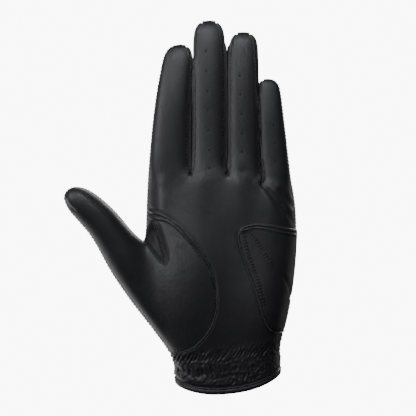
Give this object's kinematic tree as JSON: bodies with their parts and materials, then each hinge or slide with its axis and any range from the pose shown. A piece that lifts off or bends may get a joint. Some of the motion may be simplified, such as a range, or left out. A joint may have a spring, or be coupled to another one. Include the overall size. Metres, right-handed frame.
{
  "type": "golf glove",
  "caption": "thin leather glove for one hand, open at the wrist, with fingers and thumb that bend, a curved thumb seam, a sewn heel patch, a gathered wrist and a tab over a slit in the back",
  "frame": {"origin": "centre of the wrist opening, where the hand goes in", "axes": "+Z from the cuff to the fingertips, -Y the palm side, -X the thumb side"},
  "size_m": [0.1409, 0.0463, 0.2233],
  "materials": {
    "back_panel": "soft fine-grained black leather with a low sheen",
    "cuff_binding": "matt black bound edge",
    "fork_0": "soft fine-grained black leather with a low sheen",
    "fork_1": "soft fine-grained black leather with a low sheen",
    "fork_2": "soft fine-grained black leather with a low sheen",
    "heel_patch": "soft fine-grained black leather with a low sheen",
    "hook_pad": "black hook tape",
    "index_back_lower": "soft fine-grained black leather with a low sheen",
    "index_back_upper": "soft fine-grained black leather with a low sheen",
    "index_far_side_lower": "soft fine-grained black leather with a low sheen",
    "index_far_side_upper": "soft fine-grained black leather with a low sheen",
    "index_palm_lower": "soft fine-grained black leather with a low sheen",
    "index_palm_upper": "soft fine-grained black leather with a low sheen",
    "little_back_lower": "soft fine-grained black leather with a low sheen",
    "little_back_upper": "soft fine-grained black leather with a low sheen",
    "little_palm_lower": "soft fine-grained black leather with a low sheen",
    "little_palm_upper": "soft fine-grained black leather with a low sheen",
    "little_thumb_side_lower": "soft fine-grained black leather with a low sheen",
    "little_thumb_side_upper": "soft fine-grained black leather with a low sheen",
    "loop_pad": "brushed black loop tape",
    "middle_back_lower": "soft fine-grained black leather with a low sheen",
    "middle_back_upper": "soft fine-grained black leather with a low sheen",
    "middle_far_side_lower": "soft fine-grained black leather with a low sheen",
    "middle_far_side_upper": "soft fine-grained black leather with a low sheen",
    "middle_palm_lower": "soft fine-grained black leather with a low sheen",
    "middle_palm_upper": "soft fine-grained black leather with a low sheen",
    "middle_thumb_side_lower": "soft fine-grained black leather with a low sheen",
    "middle_thumb_side_upper": "soft fine-grained black leather with a low sheen",
    "palm_panel": "soft fine-grained black leather with a low sheen",
    "ring_back_lower": "soft fine-grained black leather with a low sheen",
    "ring_back_upper": "soft fine-grained black leather with a low sheen",
    "ring_far_side_lower": "soft fine-grained black leather with a low sheen",
    "ring_far_side_upper": "soft fine-grained black leather with a low sheen",
    "ring_palm_lower": "soft fine-grained black leather with a low sheen",
    "ring_palm_upper": "soft fine-grained black leather with a low sheen",
    "ring_thumb_side_lower": "soft fine-grained black leather with a low sheen",
    "ring_thumb_side_upper": "soft fine-grained black leather with a low sheen",
    "slit_binding": "matt black bound edge",
    "tab_base": "soft fine-grained black leather with a low sheen",
    "tab_flap": "soft fine-grained black leather with a low sheen",
    "thumb_back_base": "soft fine-grained black leather with a low sheen",
    "thumb_back_lower": "soft fine-grained black leather with a low sheen",
    "thumb_back_upper": "soft fine-grained black leather with a low sheen",
    "thumb_gusset": "soft fine-grained black leather with a low sheen",
    "thumb_palm_base": "soft fine-grained black leather with a low sheen",
    "thumb_palm_lower": "soft fine-grained black leather with a low sheen",
    "thumb_palm_upper": "soft fine-grained black leather with a low sheen",
    "thumb_seam_strip": "soft fine-grained black leather with a low sheen",
    "wrist_elastic_lower": "woven black elastic tape",
    "wrist_elastic_upper": "woven black elastic tape"
  },
  "bodies": {
    "hand": {"back_panel": "back_panel", "cuff_binding": "cuff_binding", "fork_0": "fork_0", "fork_1": "fork_1", "fork_2": "fork_2", "heel_patch": "heel_patch", "loop_pad": "loop_pad", "palm_panel": "palm_panel", "slit_binding": "slit_binding", "tab_base": "tab_base", "thumb_back_base": "thumb_back_base", "thumb_gusset": "thumb_gusset", "thumb_palm_base": "thumb_palm_base", "thumb_seam_strip": "thumb_seam_strip", "wrist_elastic_lower": "wrist_elastic_lower", "wrist_elastic_upper": "wrist_elastic_upper"},
    "index_lower": {"index_back_lower": "index_back_lower", "index_far_side_lower": "index_far_side_lower", "index_palm_lower": "index_palm_lower"},
    "index_upper": {"index_back_upper": "index_back_upper", "index_far_side_upper": "index_far_side_upper", "index_palm_upper": "index_palm_upper"},
    "middle_lower": {"middle_back_lower": "middle_back_lower", "middle_far_side_lower": "middle_far_side_lower", "middle_palm_lower": "middle_palm_lower", "middle_thumb_side_lower": "middle_thumb_side_lower"},
    "middle_upper": {"middle_back_upper": "middle_back_upper", "middle_far_side_upper": "middle_far_side_upper", "middle_palm_upper": "middle_palm_upper", "middle_thumb_side_upper": "middle_thumb_side_upper"},
    "ring_lower": {"ring_back_lower": "ring_back_lower", "ring_far_side_lower": "ring_far_side_lower", "ring_palm_lower": "ring_palm_lower", "ring_thumb_side_lower": "ring_thumb_side_lower"},
    "ring_upper": {"ring_back_upper": "ring_back_upper", "ring_far_side_upper": "ring_far_side_upper", "ring_palm_upper": "ring_palm_upper", "ring_thumb_side_upper": "ring_thumb_side_upper"},
    "little_lower": {"little_back_lower": "little_back_lower", "little_palm_lower": "little_palm_lower", "little_thumb_side_lower": "little_thumb_side_lower"},
    "little_upper": {"little_back_upper": "little_back_upper", "little_palm_upper": "little_palm_upper", "little_thumb_side_upper": "little_thumb_side_upper"},
    "thumb_lower": {"thumb_back_lower": "thumb_back_lower", "thumb_palm_lower": "thumb_palm_lower"},
    "thumb_upper": {"thumb_back_upper": "thumb_back_upper", "thumb_palm_upper": "thumb_palm_upper"},
    "closure_tab": {"tab_flap": "tab_flap", "hook_pad": "hook_pad"}
  },
  "joints": [
    {"name": "index_base_bend", "type": "hinge", "parent": "hand", "child": "index_lower", "pos_m": [-0.03485, -0.01244, 0.1315], "axis": [1, 0, 0], "range_deg": [0, 80]},
    {"name": "index_middle_bend", "type": "hinge", "parent": "index_lower", "child": "index_upper", "pos_m": [-0.03371, -0.0123, 0.154], "axis": [1, 0, 0], "range_deg": [0, 95]},
    {"name": "middle_base_bend", "type": "hinge", "parent": "hand", "child": "middle_lower", "pos_m": [-0.0112, -0.01033, 0.132], "axis": [1, 0, 0], "range_deg": [0, 80]},
    {"name": "middle_middle_bend", "type": "hinge", "parent": "middle_lower", "child": "middle_upper", "pos_m": [-0.0112, -0.0109, 0.16], "axis": [1, 0, 0], "range_deg": [0, 95]},
    {"name": "ring_base_bend", "type": "hinge", "parent": "hand", "child": "ring_lower", "pos_m": [0.00972, -0.00998, 0.1295], "axis": [1, 0, 0], "range_deg": [0, 80]},
    {"name": "ring_middle_bend", "type": "hinge", "parent": "ring_lower", "child": "ring_upper", "pos_m": [0.00942, -0.01043, 0.156], "axis": [1, 0, 0], "range_deg": [0, 95]},
    {"name": "little_base_bend", "type": "hinge", "parent": "hand", "child": "little_lower", "pos_m": [0.02888, -0.00868, 0.125], "axis": [1, 0, 0], "range_deg": [0, 80]},
    {"name": "little_middle_bend", "type": "hinge", "parent": "little_lower", "child": "little_upper", "pos_m": [0.02775, -0.00899, 0.145], "axis": [1, 0, 0], "range_deg": [0, 95]},
    {"name": "thumb_base_bend", "type": "hinge", "parent": "hand", "child": "thumb_lower", "pos_m": [-0.05925, -0.0192, 0.0733], "axis": [0.4522, 0, 0.8919], "range_deg": [0, 45]},
    {"name": "thumb_tip_bend", "type": "hinge", "parent": "thumb_lower", "child": "thumb_upper", "pos_m": [-0.0728, -0.0208, 0.0936], "axis": [0.7826, 0, 0.6225], "range_deg": [0, 65]},
    {"name": "closure_tab_bend", "type": "hinge", "parent": "hand", "child": "closure_tab", "pos_m": [-0.013, 0.0194, 0.026], "axis": [0, 0, 1], "range_deg": [0, 150]}
  ]
}
